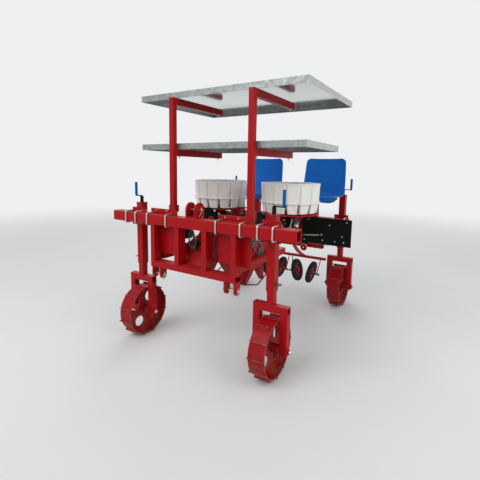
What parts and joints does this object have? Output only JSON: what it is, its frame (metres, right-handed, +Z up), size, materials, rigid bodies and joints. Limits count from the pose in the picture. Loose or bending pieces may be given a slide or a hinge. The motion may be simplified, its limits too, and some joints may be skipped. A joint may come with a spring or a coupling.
{
  "type": "seedling transplanter",
  "caption": "Mounted seedling transplanter with cup carousels, planting wheels, operator seats, seedling trays and height-adjustable lugged ring wheels.",
  "frame": {"origin": "on the ground, midway between the front and rear axles and between the ends of the toolbar", "axes": "+Z up, -Y towards the tractor, +X to the right seen from the tractor looking back at the machine"},
  "size_m": [1.64, 2.006, 1.9746],
  "materials": {
    "red_paint": "gloss",
    "galvanised": "satin",
    "zinc_steel": "satin",
    "dark_steel": "satin",
    "black_steel": "satin",
    "ivory_plastic": "satin",
    "blue_plastic": "gloss",
    "black_tyre": "matte"
  },
  "bodies": {
    "machine": {"toolbar": "red_paint", "hitch_posts": "red_paint", "hitch_rail": "red_paint", "top_hitch": "red_paint", "u_bolts": "zinc_steel", "unit_plates": "red_paint", "side_rails": "red_paint", "frame_ties": "red_paint", "rear_beam": "red_paint", "unit_beams": "red_paint", "tray_posts": "red_paint", "tray_arms": "red_paint", "upper_tray": "galvanised", "lower_tray": "galvanised", "carousel_decks": "red_paint", "row_plates": "red_paint", "planter_axles": "zinc_steel", "guard_hoops": "black_steel", "seat_stands": "red_paint", "seats": "blue_plastic", "guard_panels": "black_steel", "press_axles": "dark_steel", "press_hangers": "red_paint", "press_bar": "red_paint", "press_arms": "red_paint", "main_beams": "red_paint", "wheel_guards": "black_steel", "crank_collars": "black_steel", "crank_arms": "black_steel", "crank_grips": "blue_plastic", "leg_front_left": "red_paint", "fork_front_left": "red_paint", "leg_front_right": "red_paint", "fork_front_right": "red_paint", "leg_rear_left": "red_paint", "fork_rear_left": "red_paint", "leg_rear_right": "red_paint", "fork_rear_right": "red_paint"},
    "ground_wheel_front_left": {"wheel_front_left": "red_paint"},
    "ground_wheel_front_right": {"wheel_front_right": "red_paint"},
    "ground_wheel_rear_left": {"wheel_rear_left": "red_paint"},
    "ground_wheel_rear_right": {"wheel_rear_right": "red_paint"},
    "carousel_left": {"carousel_left": "ivory_plastic", "cups_left": "ivory_plastic", "cup_band_left": "ivory_plastic"},
    "planter_left": {"planting_wheel_left": "red_paint"},
    "carousel_right": {"carousel_right": "ivory_plastic", "cups_right": "ivory_plastic", "cup_band_right": "ivory_plastic"},
    "planter_right": {"planting_wheel_right": "red_paint"},
    "press_wheel_1": {"press_tyre_1": "black_tyre", "press_rim_1": "red_paint"},
    "press_wheel_2": {"press_tyre_2": "black_tyre", "press_rim_2": "red_paint"},
    "press_wheel_3": {"press_tyre_3": "black_tyre", "press_rim_3": "red_paint"},
    "press_wheel_4": {"press_tyre_4": "black_tyre", "press_rim_4": "red_paint"}
  },
  "joints": [
    {"name": "wheel_front_left_spin", "type": "hinge", "parent": "machine", "child": "ground_wheel_front_left", "pos_m": [-0.61, -0.786, 0.20961], "axis": [1, 0, 0], "continuous": true},
    {"name": "wheel_front_right_spin", "type": "hinge", "parent": "machine", "child": "ground_wheel_front_right", "pos_m": [0.61, -0.786, 0.217], "axis": [1, 0, 0], "continuous": true},
    {"name": "wheel_rear_left_spin", "type": "hinge", "parent": "machine", "child": "ground_wheel_rear_left", "pos_m": [-0.61, 0.786, 0.217], "axis": [1, 0, 0], "continuous": true},
    {"name": "wheel_rear_right_spin", "type": "hinge", "parent": "machine", "child": "ground_wheel_rear_right", "pos_m": [0.61, 0.786, 0.217], "axis": [1, 0, 0], "continuous": true},
    {"name": "carousel_left_turn", "type": "hinge", "parent": "machine", "child": "carousel_left", "pos_m": [-0.25, -0.159, 1.154], "axis": [0, 0, 1], "continuous": true},
    {"name": "planter_left_turn", "type": "hinge", "parent": "machine", "child": "planter_left", "pos_m": [-0.081, -0.429, 0.765], "axis": [1, 0, 0], "continuous": true},
    {"name": "carousel_right_turn", "type": "hinge", "parent": "machine", "child": "carousel_right", "pos_m": [0.44, -0.159, 1.154], "axis": [0, 0, 1], "continuous": true},
    {"name": "planter_right_turn", "type": "hinge", "parent": "machine", "child": "planter_right", "pos_m": [0.271, -0.429, 0.765], "axis": [1, 0, 0], "continuous": true},
    {"name": "press_wheel_1_spin", "type": "hinge", "parent": "machine", "child": "press_wheel_1", "pos_m": [-0.161, 0.656, 0.338], "axis": [-0.9781, 0, -0.2079], "continuous": true},
    {"name": "press_wheel_2_spin", "type": "hinge", "parent": "machine", "child": "press_wheel_2", "pos_m": [-0.001, 0.656, 0.338], "axis": [0.9781, 0, -0.2079], "continuous": true},
    {"name": "press_wheel_3_spin", "type": "hinge", "parent": "machine", "child": "press_wheel_3", "pos_m": [0.191, 0.656, 0.338], "axis": [-0.9781, 0, -0.2079], "continuous": true},
    {"name": "press_wheel_4_spin", "type": "hinge", "parent": "machine", "child": "press_wheel_4", "pos_m": [0.351, 0.656, 0.338], "axis": [0.9781, 0, -0.2079], "continuous": true}
  ]
}
